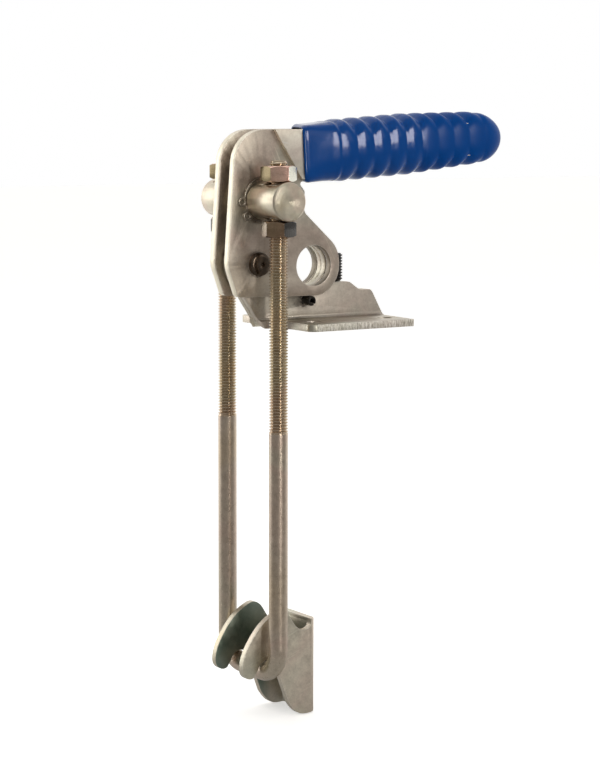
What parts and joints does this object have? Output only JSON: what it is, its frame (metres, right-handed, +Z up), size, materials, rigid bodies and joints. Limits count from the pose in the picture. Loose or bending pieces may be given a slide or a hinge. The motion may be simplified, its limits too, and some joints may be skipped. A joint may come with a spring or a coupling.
{
  "type": "over-centre latch clamp",
  "caption": "Over-centre latch clamp: sheet-metal base and lever with a ribbed grip, a threaded U-bolt on a swivelling trunnion, and a hook keeper.",
  "frame": {"origin": "centre of the four base bolt holes, on the underside of the base flanges", "axes": "+Z up from the mounting surface; +X towards the free end of the handle with the latch closed; +Y to the far side, the mid-plane between the two brackets is Y=0"},
  "size_m": [0.1444, 0.0584, 0.2566],
  "materials": {
    "plated_sheet": "zinc plated sheet, satin",
    "plated_turned": "zinc plated, turned",
    "plated_rod": "zinc plated rod with rolled thread",
    "dark_steel": "dark polished steel",
    "black_steel": "black oxide",
    "blue_vinyl": "gloss"
  },
  "bodies": {
    "base": {"base_bracket_near": "plated_sheet", "base_bracket_far": "plated_sheet", "pivot_bush": "plated_turned", "stop_pin": "black_steel"},
    "lever": {"lever_plate_near": "plated_sheet", "lever_plate_far": "plated_sheet", "pivot_pin": "dark_steel", "handle_strap": "plated_sheet", "grip": "blue_vinyl", "stop_screw": "black_steel"},
    "rings": {"retaining_ring_near": "dark_steel", "retaining_ring_far": "dark_steel"},
    "trunnion": {"trunnion": "plated_turned"},
    "ubolt": {"ubolt": "plated_rod"},
    "upper_nut_near": {"upper_nut_near": "plated_turned"},
    "upper_nut_far": {"upper_nut_far": "plated_turned"},
    "lower_nut_near": {"lower_nut_near": "plated_turned"},
    "lower_nut_far": {"lower_nut_far": "plated_turned"},
    "keeper": {"keeper": "plated_sheet"}
  },
  "joints": [
    {"name": "lever_open", "type": "hinge", "parent": "base", "child": "lever", "pos_m": [-0.04, 0, 0.0274], "axis": [0, -1, 0], "range_deg": [0, 120]},
    {"name": "ring_follow", "type": "hinge", "parent": "lever", "child": "rings", "pos_m": [-0.03857, 0, 0.05396], "axis": [0, -1, 0], "range_deg": [-120, 0]},
    {"name": "ubolt_swing", "type": "hinge", "parent": "rings", "child": "trunnion", "pos_m": [-0.03857, 0, 0.05396], "axis": [0, 1, 0], "range_deg": [-5, 75]},
    {"name": "ubolt_adjust", "type": "slide", "parent": "trunnion", "child": "ubolt", "axis": [0, 0, 1], "range_m": [-0.00125, 0.06]},
    {"name": "upper_nut_near_turn", "type": "hinge", "parent": "trunnion", "child": "upper_nut_near", "pos_m": [-0.03857, -0.0205, 0.0653], "axis": [0, 0, 1], "range_deg": [-361, 17281]},
    {"name": "upper_nut_far_turn", "type": "hinge", "parent": "trunnion", "child": "upper_nut_far", "pos_m": [-0.03857, 0.0205, 0.0653], "axis": [0, 0, 1], "range_deg": [-361, 17281]},
    {"name": "lower_nut_near_turn", "type": "hinge", "parent": "trunnion", "child": "lower_nut_near", "pos_m": [-0.03857, -0.0205, 0.0426], "axis": [0, 0, 1], "range_deg": [-361, 17281]},
    {"name": "lower_nut_far_turn", "type": "hinge", "parent": "trunnion", "child": "lower_nut_far", "pos_m": [-0.03857, 0.0205, 0.0426], "axis": [0, 0, 1], "range_deg": [-361, 17281]},
    {"name": "keeper_rock", "type": "hinge", "parent": "ubolt", "child": "keeper", "pos_m": [-0.03857, 0, -0.1457], "axis": [0, 1, 0], "range_deg": [-8, 8]}
  ],
  "couplings": [
    {"joint": "ring_follow", "follows": "lever_open", "ratio": -1},
    {"joint": "upper_nut_near_turn", "follows": "ubolt_adjust", "rad_per_m": 5026.5},
    {"joint": "upper_nut_far_turn", "follows": "ubolt_adjust", "rad_per_m": 5026.5},
    {"joint": "lower_nut_near_turn", "follows": "ubolt_adjust", "rad_per_m": 5026.5},
    {"joint": "lower_nut_far_turn", "follows": "ubolt_adjust", "rad_per_m": 5026.5}
  ]
}
